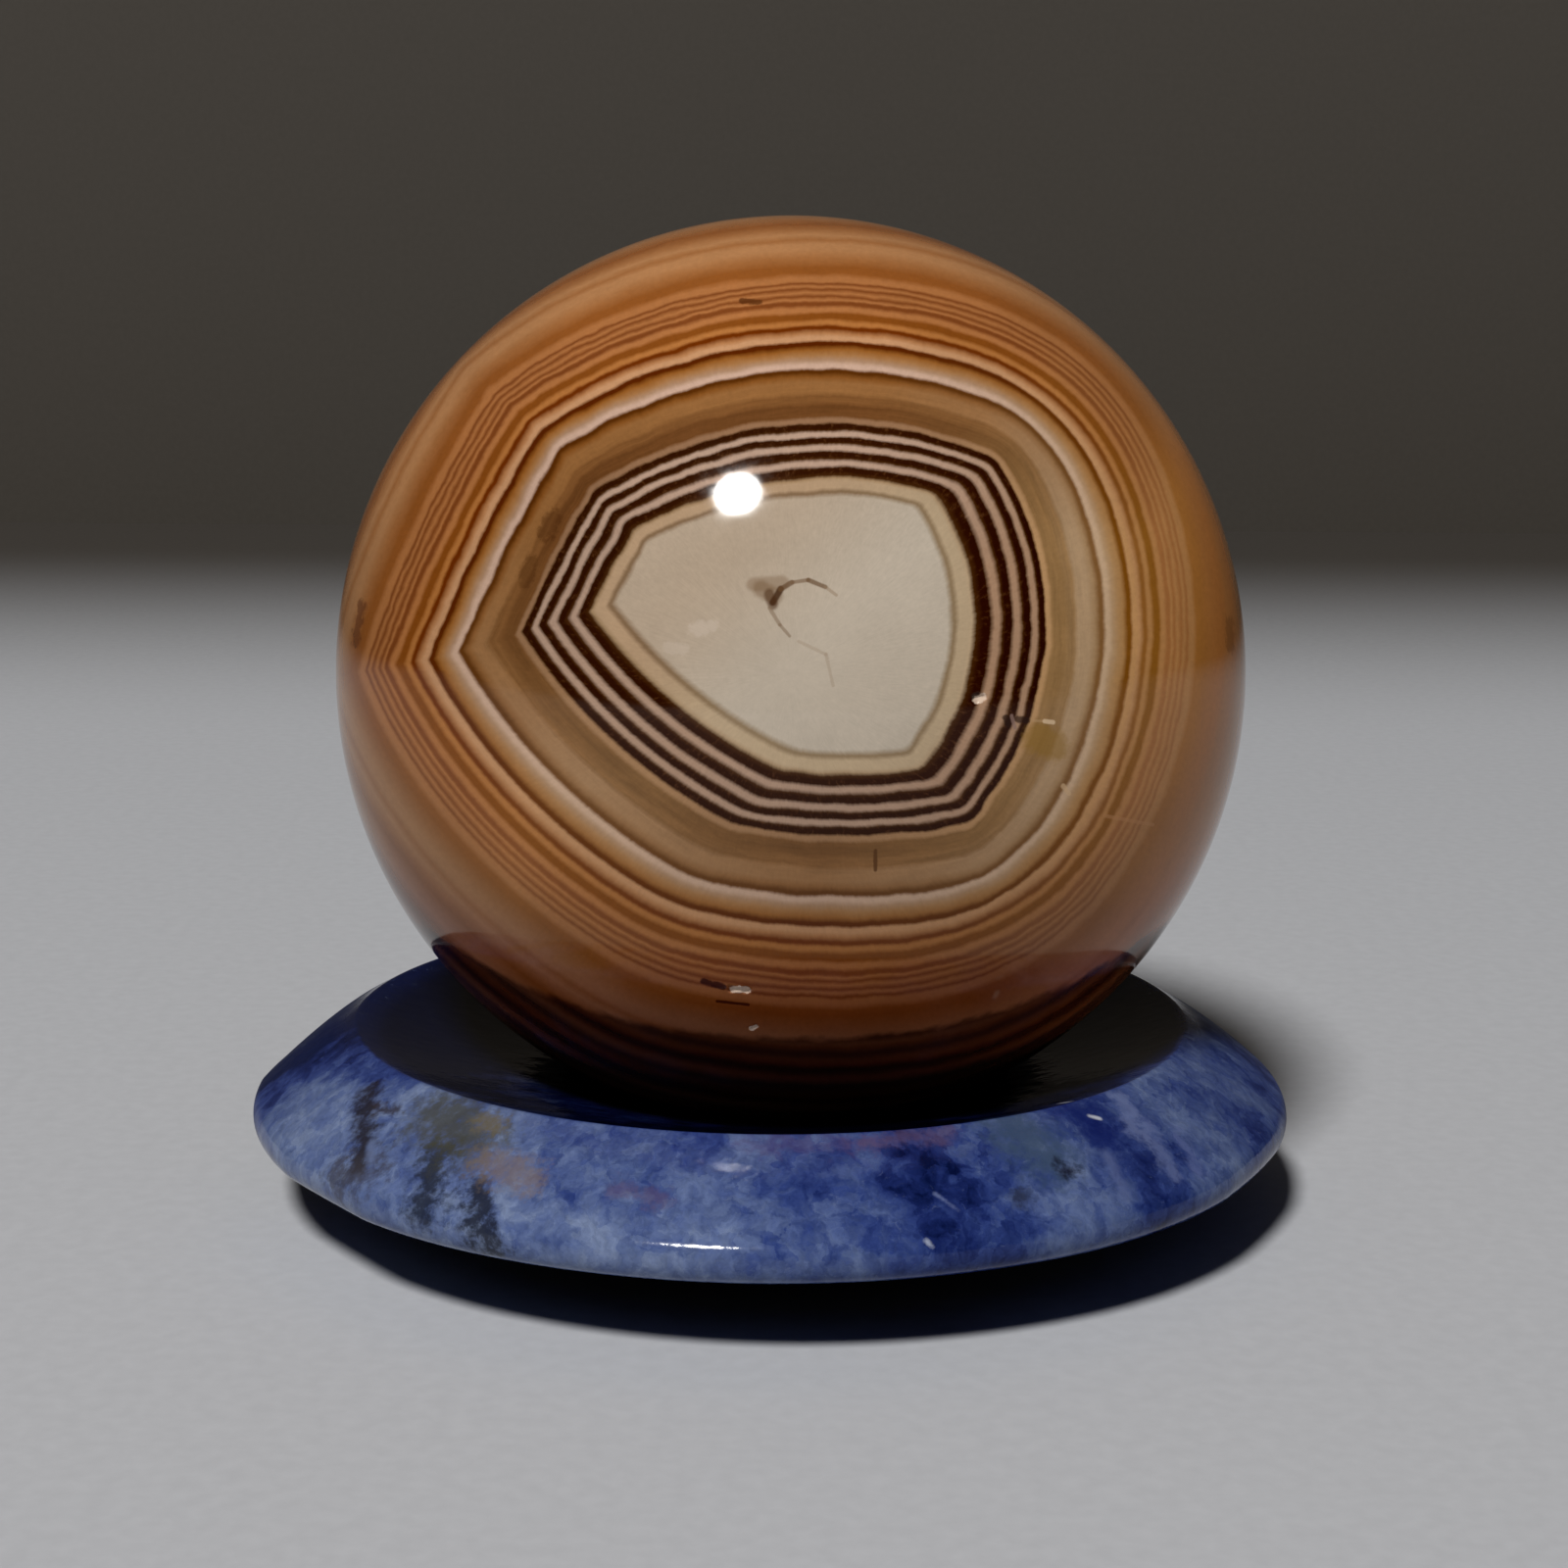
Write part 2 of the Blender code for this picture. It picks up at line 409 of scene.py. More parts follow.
MIDDLE_BANDS = [
    (2.94, "olive"), (3.32, "olive"), (3.50, "olive_light"), (3.66, "olive_light"), (3.82, "beige"),
    (4.18, "beige"), (4.38, "beige_edge"), (4.56, "thin_dark"), (4.64, "thin_dark"), (4.76, "white"),
    (4.86, "white"), (5.02, "white_soft"), (5.22, "ochre"), (5.42, "ochre_deep"), (5.60, "rust_line"),
    (5.70, "rust_line"), (5.81, "orange_light"), (5.92, "orange_light"), (6.06, "orange"),
    (6.24, "brown"), (6.32, "brown"), (6.43, "amber"), (6.52, "amber"), (6.66, "brown_soft"),
    (6.84, "brown_soft"), (6.97, "fine_light"), (7.08, "fine_light"), (7.22, "fine_dark"),
]
OUTER_BANDS = [
    (7.22, "fine_dark"), (7.32, "fine_dark"), (7.41, "fine_light"), (7.54, "fine_dark"),
    (7.68, "fine_light"), (7.84, "fine_dark"), (7.96, "fine_light"), (8.09, "fine_dark"),
    (8.20, "fine_light"), (8.36, "fine_light"), (8.56, "outer_dark"), (8.80, "outer_dark"),
    (9.20, "outer"), (9.60, "outer_light"), (9.85, "outer_light"), (10.05, "outer"),
    (10.30, "outer_light"), (10.60, "outer"), (10.90, "outer_dark"), (11.20, "outer"),
    (11.60, "outer_light"), (12.00, "outer_dark"), (12.30, "brown_soft"), (12.60, "outer"),
    (13.10, "outer_light"), (13.50, "outer_dark"), (14.20, "skin"),
]


def band_ramp(nodes, level, bands, warm_or_pale):
    """A colour ramp over one run of bands."""
    first = bands[0][0]
    last = bands[-1][0]
    stops = [((place - first) / (last - first), colour(*PALETTE[name][warm_or_pale]))
             for place, name in bands]
    return nodes.ramp(nodes.linear(level, first, last), stops)


def eye_field(nodes, across):
    """The level at a place across the eye's axis: the highest of its sides, with rounded corners."""
    sides = {}
    for name, (middle, core_radius, marks) in EYE_SIDES.items():
        away = nodes.vector("DISTANCE", across, (*middle, 0))
        past = nodes.math("SUBTRACT", away, core_radius)
        curve = [(0.0, 0.0)]
        curve += [(mark / LEVEL_SPAN, level / LEVEL_SPAN) for mark, level in zip(marks, MARK_LEVELS[1:])]
        curve.append((marks[-1] / LEVEL_SPAN + 1, MARK_LEVELS[-1] / LEVEL_SPAN + 1))
        bent = nodes.bend(nodes.math("DIVIDE", past, LEVEL_SPAN), curve)
        sides[name] = nodes.math("MULTIPLY", bent, LEVEL_SPAN)
    left = nodes.math("SMOOTH_MAX", sides["upper_left"], sides["lower_left"], LEFT_ROUNDING)
    upper = nodes.math("SMOOTH_MAX", left, sides["top"], TOP_ROUNDING)
    lower_rounding = nodes.smooth(sides["bottom"], *ROUNDING_LEVELS, *BOTTOM_ROUNDINGS)
    lower = nodes.math("SMOOTH_MAX", upper, sides["bottom"], lower_rounding)
    right_rounding = nodes.smooth(sides["right"], *ROUNDING_LEVELS, *RIGHT_ROUNDINGS)
    return nodes.math("SMOOTH_MAX", lower, sides["right"], right_rounding)


def capsule(nodes, point, start, end, radius):
    """How near a place is to a thick line: 1 on the line, 0 at its edge and less than 0 outside it."""
    start = Vector(start)
    along = Vector(end) - start
    from_start = nodes.vector("SUBTRACT", point, tuple(start))
    share = nodes.vector("DOT_PRODUCT", from_start, tuple(along / along.length_squared))
    share = nodes.math("MINIMUM", nodes.math("MAXIMUM", share, 0.0), 1.0)
    foot = nodes.add("ShaderNodeVectorMath", {0: tuple(along), "Scale": share}, operation="SCALE").outputs[0]
    away = nodes.vector("DISTANCE", from_start, foot)
    return nodes.math("MULTIPLY_ADD", away, -1 / radius, 1.0)


def agate_material():
    nodes = Nodes("agate")
    place = nodes.add("ShaderNodeTexCoord").outputs["Object"]
    centred = nodes.vector("SUBTRACT", place, tuple(BALL_CENTRE))
    point = nodes.scaled(centred, 1 / MM)
    right = nodes.vector("DOT_PRODUCT", point, tuple(EYE_RIGHT))
    up = nodes.vector("DOT_PRODUCT", point, tuple(EYE_UP))
    depth = nodes.vector("DOT_PRODUCT", point, tuple(EYE_AXIS))

    # Behind the front the eye drifts, shrinks and warps more
    back_share = nodes.smooth(depth, *BACK_DEPTHS)
    stretch = nodes.math("MULTIPLY_ADD", back_share, BACK_SHRINK, 1.0)
    moved = []
    for direction, drift in zip((right, up), BACK_DRIFT):
        stretched = nodes.math("MULTIPLY", direction, stretch)
        moved.append(nodes.math("MULTIPLY_ADD", back_share, drift, stretched))
    right_moved, up_moved = moved

    # Unevenness of the layers: broad waves, small waves and the fibres' fine jags
    broad = nodes.waver(point, *BROAD_NOISE)
    small = nodes.waver(point, *SMALL_NOISE)
    shift = nodes.math("MULTIPLY", broad, nodes.math("MULTIPLY_ADD", back_share, BACK_WARP, BROAD_WAVE))
    shift = nodes.math("MULTIPLY_ADD", small, SMALL_WAVE, shift)
    across = nodes.combine(nodes.math("ADD", right_moved, shift), nodes.math("SUBTRACT", up_moved, shift))
    level = eye_field(nodes, across)

    bearing = nodes.math("ARCTAN2", up, right)
    smooth_layer = nodes.combine(bearing, level, depth)
    fibre_place = nodes.vector("MULTIPLY", smooth_layer, FIBRE_STRETCH)
    jags = nodes.waver(fibre_place, *FIBRE_NOISE)
    level = nodes.math("MULTIPLY_ADD", jags, FIBRE_JAG, level)
    layer = nodes.combine(bearing, level, depth)

    # The stone's tone changes round the eye
    round_eye = nodes.vector("SUBTRACT", nodes.combine(right, up), (*TONE_MIDDLE, 0.0))
    parts = nodes.add("ShaderNodeSeparateXYZ", {0: round_eye})
    tone_bearing = nodes.math("ARCTAN2", parts.outputs["Y"], parts.outputs["X"])
    tone_bearing = nodes.math("MULTIPLY_ADD", broad, TONE_WAVE, tone_bearing)
    tones = nodes.ramp(nodes.linear(tone_bearing, -math.pi, math.pi),
                       [((degrees + 180) / 360, (*tone, 1.0)) for degrees, *tone in TONES])
    tone_parts = nodes.add("ShaderNodeSeparateColor", {0: tones})
    paleness, brightness, red_lack = tone_parts.outputs[:3]
    paleness = nodes.math("POWER", paleness, nodes.smooth(level, *PALE_LEVELS, *PALE_POWERS))
    paleness = nodes.mix(nodes.smooth(depth, *EVEN_TONE_DEPTHS), paleness, EVEN_TONE)

    both_tones = []
    for tone in (0, 1):
        inner = band_ramp(nodes, level, INNER_BANDS, tone)
        middle = band_ramp(nodes, level, MIDDLE_BANDS, tone)
        outer = band_ramp(nodes, level, OUTER_BANDS, tone)
        banded = nodes.mix(nodes.math("GREATER_THAN", level, MIDDLE_BANDS[0][0]), inner, middle)
        both_tones.append(nodes.mix(nodes.math("GREATER_THAN", level, OUTER_BANDS[0][0]), banded, outer))
    core_share = nodes.smooth(nodes.math("SUBTRACT", right, up), *CORE_TONE_LINE)
    in_core = nodes.smooth(level, *CORE_LEVELS)
    stone = nodes.mix(nodes.mix(in_core, paleness, core_share), *both_tones)

    # Pale flecks lie in the dark bands
    flecks = nodes.noise(nodes.vector("MULTIPLY", layer, FLECK_STRETCH), *FLECK_NOISE)
    in_dark = nodes.math("MULTIPLY", nodes.smooth(level, *DARK_START), nodes.smooth(level, *DARK_END))
    fleck_share = nodes.math("MULTIPLY", nodes.smooth(flecks, *FLECK_LIMITS), in_dark)
    stone = nodes.mix(fleck_share, stone, nodes.mix(FLECK_COVER, stone, colour(*FLECK_COLOUR)))

    # Clouds in the stone, the fibres' faint streaks, fine mottling, and dirt between the olive layers
    cloud = nodes.wash(point, CLOUD_WASH)
    streak = nodes.wash(fibre_place, STREAK_WASH)
    grain = nodes.wash(point, GRAIN_WASH)
    dirt = nodes.wash(nodes.vector("MULTIPLY", layer, DIRT_STRETCH), DIRT_WASH)
    in_olive = nodes.math("MULTIPLY", nodes.smooth(level, *OLIVE_START), nodes.smooth(level, *OLIVE_END))
    dirt = nodes.math("MULTIPLY_ADD", in_olive, nodes.math("SUBTRACT", dirt, 1.0), 1.0)
    shade = nodes.math("MULTIPLY", nodes.math("MULTIPLY", cloud, streak), nodes.math("MULTIPLY", grain, dirt))
    even = nodes.math("MAXIMUM", in_core, nodes.smooth(level, *EVEN_BRIGHT_LEVELS, 0.0, EVEN_BRIGHT_SHARE))
    brightness = nodes.math("MULTIPLY_ADD", even, nodes.math("SUBTRACT", 1.0, brightness), brightness)
    shade = nodes.math("MULTIPLY", shade, brightness)

    # Painted shade on the ball's underside: darker below the plane, easing further down, with faint lines and
    # a redder tint
    ball_parts = nodes.add("ShaderNodeSeparateXYZ", {0: point})
    front_part = nodes.math("MINIMUM", nodes.math("SUBTRACT", ball_parts.outputs["Y"], UNDERSIDE_FRONT), 0.0)
    above = nodes.math("MULTIPLY_ADD", front_part, -UNDERSIDE_SLOPE, ball_parts.outputs["Z"])
    above = nodes.math("SUBTRACT", above, UNDERSIDE_HEIGHT)
    above = nodes.math("MULTIPLY_ADD", small, UNDERSIDE_WAVE, above)
    shade = nodes.math("MULTIPLY", shade, nodes.smooth(above, *UNDERSIDE_EDGE, UNDERSIDE_SHADE, 1.0))
    shade = nodes.math("MULTIPLY", shade, nodes.smooth(above, *DEEP_RANGE, DEEP_LIFT, 1.0))
    faint = nodes.math("MULTIPLY", nodes.math("SINE", nodes.math("MULTIPLY", level, FAINT_LINE_FREQUENCY)),
                       nodes.smooth(above, *FAINT_LINE_RANGE, 0.0, FAINT_LINE_STRENGTH))
    shade = nodes.math("MULTIPLY", shade, nodes.math("ADD", faint, 1.0))
    shaded = nodes.scaled(stone, shade)
    # Painted shade: redder and darker towards and in the dark underside
    shaded = nodes.mix(nodes.smooth(above, *RED_RANGE), shaded, RED_TINT, "MULTIPLY")
    lacks_red = nodes.math("MULTIPLY", red_lack, nodes.smooth(level, *LACKS_RED_LEVELS))
    shaded = nodes.mix(lacks_red, shaded, LACKS_RED_TINT, "MULTIPLY")

    # The marks and the chips lie on the front only
    flat = nodes.combine(right, up)
    ragged = nodes.waver(point, *RAG_NOISE)
    front = nodes.smooth(depth, *FRONT_DEPTHS)
    for start, end, radius, tint, strength, raggedness in MARKS:
        near = capsule(nodes, flat, (*start, 0), (*end, 0), radius * MARK_WIDENING)
        near = nodes.math("MULTIPLY_ADD", ragged, raggedness * MARK_RAGGEDNESS, near)
        share = nodes.math("MULTIPLY", nodes.smooth(near, *MARK_EDGE, 0.0, strength), front)
        shaded = nodes.mix(share, shaded, colour(*tint))
    for start, end, radius, _ in BALL_CHIPS:
        near = capsule(nodes, flat, (*start, 0), (*end, 0), radius * CHIP_WIDENING)
        near = nodes.math("MULTIPLY_ADD", ragged, CHIP_RAGGEDNESS, near)
        share = nodes.math("MULTIPLY", nodes.smooth(near, *CHIP_EDGE, 0.0, CHIP_COVER), front)
        shaded = nodes.mix(share, shaded, colour(*CHIP_COLOUR))

    nodes.put(nodes.shader.inputs["Base Color"], shaded)
    nodes.put(nodes.shader.inputs["Roughness"], nodes.wash(point, BALL_GLOSS_WASH))
    nodes.polish(AGATE_REFRACTION, AGATE_HIGHLIGHT, nodes.noise(point, *RIPPLE_NOISE), RIPPLE_STRENGTH)
    return nodes.material


# The ring's bearing is 0 at the front, a quarter turn to the right at pi/2 and to the left at -pi/2.
# How deep the blue is along the bearing in degrees, from pale grey-blue at 0 to indigo at 1
BLUE_DEPTHS = (
    (-180, 0.55), (-120, 0.60), (-98, 0.85), (-82, 0.80), (-72, 0.42), (-62, 0.20), (-50, 0.22), (-40, 0.30),
    (-30, 0.32), (-20, 0.38), (-10, 0.45), (2, 0.54), (10, 0.50), (17, 0.78), (24, 0.60), (32, 0.34),
    (43, 0.64), (50, 0.44), (58, 0.34), (66, 0.50), (76, 0.54), (92, 0.66), (120, 0.50), (180, 0.55),
)

# Spots and veins of other minerals: both ends in millimetres, the radius, the colour, how much they cover and
# how broken they are
INCLUSIONS = (
    ((-14.4, -9.2, 6.3), (-14.3, -12.8, 4.7), 0.50, (36, 31, 34), 0.9, 0.9),
    ((-14.0, -10.6, 6.1), (-13.2, -11.0, 6.2), 0.35, (52, 46, 50), 0.8, 1.2),
    ((-15.4, -12.6, 4.3), (-13.8, -13.4, 4.6), 0.75, (62, 60, 66), 0.7, 1.4),
    ((-11.4, -14.2, 5.6), (-11.7, -15.9, 4.2), 0.72, (38, 42, 54), 0.9, 1.3),
    ((-9.85, -16.2, 5.0), (-9.4, -17.7, 3.3), 0.60, (36, 38, 48), 0.9, 1.4),
    ((-11.7, -12.3, 6.5), (-10.1, -14.1, 6.1), 1.20, (72, 72, 60), 0.8, 1.0),
    ((-9.8, -13.4, 6.6), (-9.4, -13.9, 6.4), 0.40, (108, 98, 76), 0.6, 1.2),
    ((-9.7, -15.3, 5.7), (-8.2, -16.4, 5.5), 0.62, (116, 103, 98), 0.65, 1.2),
    ((-5.0, -17.7, 5.5), (-3.8, -18.1, 5.3), 0.42, (92, 80, 108), 0.5, 1.3),
    ((-0.6, -16.5, 6.75), (3.2, -16.3, 6.75), 0.45, (78, 68, 108), 0.45, 1.3),
    ((3.2, -16.2, 6.8), (6.1, -15.3, 6.75), 0.42, (98, 80, 104), 0.45, 1.1),
    ((8.2, -14.2, 6.65), (9.4, -15.0, 5.9), 1.15, (62, 78, 102), 0.85, 0.8),
    ((10.0, -15.1, 5.6), (10.3, -15.2, 5.5), 0.34, (26, 26, 40), 0.9, 0.8),
    ((8.3, -16.9, 5.1), (8.5, -16.9, 5.0), 0.38, (40, 44, 62), 0.8, 0.9),
    ((10.6, -12.2, 6.7), (11.6, -13.2, 6.1), 1.00, (22, 34, 92), 0.8, 0.9),
    ((12.2, -10.8, 6.7), (12.9, -12.3, 5.8), 0.42, (112, 124, 164), 0.6, 0.9),
    ((13.2, -11.7, 5.9), (13.9, -13.3, 4.8), 0.36, (104, 116, 158), 0.6, 0.9),
    ((14.3, -10.9, 5.5), (14.9, -12.3, 4.6), 0.32, (98, 110, 156), 0.6, 0.9),
    ((11.6, -14.0, 5.6), (12.1, -15.2, 4.5), 0.24, (96, 108, 150), 0.5, 0.9),
    ((5.5, -17.6, 5.4), (6.3, -18.0, 5.0), 0.09, (116, 128, 168), 0.6, 0.8),
    ((-14.0, -12.2, 5.3), (-13.3, -14.9, 3.5), 0.20, (106, 120, 158), 0.6, 0.5),
    ((10.25, -11.55, 6.8), (10.45, -11.75, 6.75), 0.17, (206, 208, 216), 0.8, 0.5),
    ((11.1, -12.45, 6.5), (11.5, -12.4, 6.45), 0.09, (196, 200, 212), 0.8, 0.5),
    ((4.65, -18.2, 5.3), (4.7, -18.3, 5.2), 0.07, (186, 192, 208), 0.8, 0.8),
    ((5.15, -19.1, 4.3), (5.35, -19.2, 4.1), 0.09, (178, 186, 206), 0.8, 0.8),
)
# From which radius on a spot's place is warped, and how wide, how broken and how soft the spots' edges are
WARPED_SPOT_RADIUS = 0.25
SPOT_WIDENING = 1.5
SPOT_BROKENNESS = 2.0
SPOT_EDGE = (-0.1, 0.9)
SPOT_NOISE = (2.2, 4.0, 0.7)

# A warped copy of the place breaks up every edge: the noise and how far it moves a place
WARP_NOISE = {"Scale": 0.9, "Detail": 4.0, "Roughness": 0.6}
WARP = 1.5

# What is added to the bearing's own depth of blue: a constant, large blotches, small patches and single cells
BLUE_CONSTANT = 0.60
BLOTCH_STRETCH = (1.0, 1.0, 0.6)
BLOTCH_NOISE = (0.33, 4.0, 0.65)
BLOTCH_DEPTH = 1.2
PATCH_NOISE = (1.1, 3.0, 0.6)
PATCH_DEPTH = 0.75
CELL_SCALE = 1.5
CELL_DEPTH = 0.18

# The paler outer edge at the front: where it starts outwards and is full, its middle and where it ends along
# the bearing, and how much paler it is
PALE_OUTSIDE = (18.2, 19.8)
PALE_BEARING = -0.25
PALE_REACH = (0.65, 0.1)
PALE_DEPTH = -0.30

# The indigo patch at the back on the left: where it fades out towards the middle, towards the front, and
# across the slant line where it meets the pale stone
INDIGO_LEFT = (-8.0, -12.0)
INDIGO_FRONT = (-10.5, -8.5)
INDIGO_SLANT = 1.43
INDIGO_LINE = (-30.7, -28.7)
INDIGO_DEPTH = 0.42

# The bowl is deeper in colour, and painted shade darkens it towards the ball, which shades it
BOWL_START = (16.1, 15.6)
BOWL_DEPTH = 0.50
BOWL_SHADE = (14.6, 16.0, 0.4, 1.0)

# From pale grey-blue to indigo
BLUES = ((112, 126, 158), (92, 107, 146), (72, 87, 132), (50, 65, 118), (32, 44, 94), (15, 25, 62))

# Short strokes and pale frost on the small crystals
STROKE_STRETCH = (2.6, 2.6, 0.9)
STROKE_WASH = (1.3, 3.0, 0.7, (0.3, 0.7), (0.82, 1.2))
FROST_NOISE = (2.3, 4.0, 0.7)
FROST_LIMITS = (0.6, 0.78, 0.0, 0.3)
FROST_COLOUR = (124, 136, 164)

# The polish: how rough it is along the patches, where it is duller, the refraction, the highlight's level and
# the small dents
RING_GLOSS = (0.3, 0.7, 0.06, 0.14)
DULL_BACK = (-8.0, -3.0)
DULL_OUTSIDE = (15.8, 17.5)
DULL_ROUGHNESS = 0.45
SODALITE_REFRACTION = 1.48
SODALITE_HIGHLIGHT = 0.25
DENT_NOISE = (1.2, 3.0)
DENT_STRENGTH = 0.03

# Painted shade: the underside is painted a dull dark grey, which darkens the shadow under the ring and keeps
# blue out of it
UNDERSIDE_PAINTED_SHADE_HEIGHTS = (1.4, 3.1)
UNDERSIDE_PAINTED_SHADE_COVER = 0.75
UNDERSIDE_PAINTED_SHADE_COLOUR = (50, 52, 58)


def sodalite_material():
    nodes = Nodes("sodalite")
    place = nodes.add("ShaderNodeTexCoord").outputs["Object"]
    point = nodes.scaled(place, 1 / MM)
    parts = nodes.add("ShaderNodeSeparateXYZ", {0: point})
    across, back, height = parts.outputs["X"], parts.outputs["Y"], parts.outputs["Z"]
    bearing = nodes.math("ARCTAN2", across, nodes.math("MULTIPLY", back, -1.0))
    outward = nodes.math("SQRT", nodes.math("ADD", nodes.math("POWER", across, 2.0),
                                            nodes.math("POWER", back, 2.0)))

    warp = nodes.add("ShaderNodeTexNoise", {"Vector": point, **WARP_NOISE})
    offset = nodes.vector("SUBTRACT", warp.outputs["Color"], (0.5, 0.5, 0.5))
    warped = nodes.vector("ADD", point, nodes.scaled(offset, WARP))

    # The depth of the blue
    own_depth = nodes.ramp(nodes.linear(bearing, -math.pi, math.pi),
                           [((degrees + 180) / 360, (depth, depth, depth, 1))
                            for degrees, depth in BLUE_DEPTHS])
    blotch = nodes.noise(nodes.vector("MULTIPLY", warped, BLOTCH_STRETCH), *BLOTCH_NOISE)
    patch = nodes.noise(warped, *PATCH_NOISE)
    cells = nodes.add("ShaderNodeTexVoronoi", {"Vector": warped, "Scale": CELL_SCALE}, feature="F1")
    cell_tone = nodes.add("ShaderNodeSeparateColor", {0: cells.outputs["Color"]}).outputs[0]
    value = nodes.math("MULTIPLY_ADD", blotch, BLOTCH_DEPTH, nodes.math("SUBTRACT", own_depth, BLUE_CONSTANT))
    value = nodes.math("MULTIPLY_ADD", nodes.math("SUBTRACT", patch, 0.5), PATCH_DEPTH, value)
    value = nodes.math("MULTIPLY_ADD", nodes.math("SUBTRACT", cell_tone, 0.5), CELL_DEPTH, value)

    # Paler on the outer edge at the front, deeper on the left at the back and in the bowl
    from_pale = nodes.math("ABSOLUTE", nodes.math("SUBTRACT", bearing, PALE_BEARING))
    pale_front = nodes.math("MULTIPLY", nodes.smooth(outward, *PALE_OUTSIDE),
                            nodes.smooth(from_pale, *PALE_REACH))
    value = nodes.math("MULTIPLY_ADD", pale_front, PALE_DEPTH, value)
    warped_parts = nodes.add("ShaderNodeSeparateXYZ", {0: warped})
    slant = nodes.math("MULTIPLY_ADD", warped_parts.outputs["X"], INDIGO_SLANT, warped_parts.outputs["Y"])
    indigo = nodes.math("MULTIPLY", nodes.smooth(warped_parts.outputs["X"], *INDIGO_LEFT),
                        nodes.smooth(warped_parts.outputs["Y"], *INDIGO_FRONT))
    indigo = nodes.math("MULTIPLY", indigo, nodes.smooth(slant, *INDIGO_LINE))
    value = nodes.math("MULTIPLY_ADD", indigo, INDIGO_DEPTH, value)
    value = nodes.math("MULTIPLY_ADD", nodes.smooth(outward, *BOWL_START), BOWL_DEPTH, value)
    blue = nodes.ramp(value, [(step / (len(BLUES) - 1), colour(*tint)) for step, tint in enumerate(BLUES)])

    # Short strokes and frost give the mosaic of small crystals
    strokes = nodes.wash(nodes.vector("MULTIPLY", warped, STROKE_STRETCH), STROKE_WASH)
    frost = nodes.smooth(nodes.noise(warped, *FROST_NOISE), *FROST_LIMITS)
    stone = nodes.mix(frost, nodes.scaled(blue, strokes), colour(*FROST_COLOUR))
    # Painted shade in the bowl, darker towards the ball
    stone = nodes.scaled(stone, nodes.smooth(outward, *BOWL_SHADE))

    breakup = nodes.waver(point, *SPOT_NOISE)
    for start, end, radius, tint, cover, brokenness in INCLUSIONS:
        spot_place = warped if radius > WARPED_SPOT_RADIUS else point
        near = capsule(nodes, spot_place, start, end, radius * SPOT_WIDENING)
        near = nodes.math("MULTIPLY_ADD", breakup, brokenness * SPOT_BROKENNESS, near)
        stone = nodes.mix(nodes.smooth(near, *SPOT_EDGE, 0.0, cover), stone, colour(*tint))

    # Painted shade: the underside is mixed towards a dull dark grey
    underside_painted_shade = nodes.smooth(height, *UNDERSIDE_PAINTED_SHADE_HEIGHTS, UNDERSIDE_PAINTED_SHADE_COVER, 0.0)
    stone = nodes.mix(underside_painted_shade, stone, colour(*UNDERSIDE_PAINTED_SHADE_COLOUR))
    nodes.put(nodes.shader.inputs["Base Color"], stone)

    # The polish is duller at the sides and at the back
    dull = nodes.math("MULTIPLY", nodes.smooth(back, *DULL_BACK),
                      nodes.smooth(outward, *DULL_OUTSIDE, 0.0, DULL_ROUGHNESS))
    gloss = nodes.linear(patch, *RING_GLOSS)
    nodes.put(nodes.shader.inputs["Roughness"], nodes.math("ADD", gloss, dull))
    nodes.polish(SODALITE_REFRACTION, SODALITE_HIGHLIGHT, nodes.noise(point, *DENT_NOISE), DENT_STRENGTH)
    return nodes.material


def new_piece(name, mesh, material, node):
    obj = bpy.data.objects.new(name, mesh)
    bpy.context.scene.collection.objects.link(obj)
    mesh.materials.append(material)
    mesh.shade_smooth()
    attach(obj, "root")
    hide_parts(node)
    return obj


# The ball, and how its mesh is cut for a chip: how far round the chip it is cut finer, in how many parts, how
# far from the chip's line it can be pressed in, how much of the radius the wall takes, and the raggedness of
# the edge and of the floor with their scales
BALL_CUTS = 96
CHIP_MARGIN = 0.35
CHIP_CUTS = 5
CHIP_REACH = 0.6
CHIP_WALL = 0.5
EDGE_RAG = 0.7
EDGE_RAG_SCALE = 5
FLOOR_RAG = 0.6
FLOOR_RAG_SCALE = 9


def on_unit_ball(place):
    """The direction from the ball's middle to a place across the eye's axis, in millimetres."""
    flat = Vector(place) * MM / BALL_RADIUS
    return EYE_RIGHT * flat.x + EYE_UP * flat.y + EYE_AXIS * math.sqrt(1 - flat.length_squared)


def cut_chip(shape, start, end, radius, depth):
    """Cut the unit ball's mesh finer round one chip and press the chip in, ragged at its edge."""
    unit = BALL_RADIUS / MM
    first = on_unit_ball(start)
    along = on_unit_ball(end) - first

    def away_from_line(place):
        share = min(max((place - first).dot(along) / along.length_squared, 0), 1)
        return (place - first - along * share).length * unit

    edges = [edge for edge in shape.edges
             if all(away_from_line(vertex.co) < radius + CHIP_MARGIN for vertex in edge.verts)]
    bmesh.ops.subdivide_edges(shape, edges=edges, cuts=CHIP_CUTS, use_grid_fill=True)
    for vertex in shape.verts:
        away = away_from_line(vertex.co)
        if away < radius + CHIP_REACH:
            vertex.co.normalize()
            ragged = 1 + EDGE_RAG * noise.noise(vertex.co * unit * EDGE_RAG_SCALE)
            inside = min(max((radius * ragged - away) / (radius * CHIP_WALL), 0), 1)
            rough = 1 + FLOOR_RAG * noise.noise(vertex.co * unit * FLOOR_RAG_SCALE)
            vertex.co *= 1 - depth * inside * rough / unit


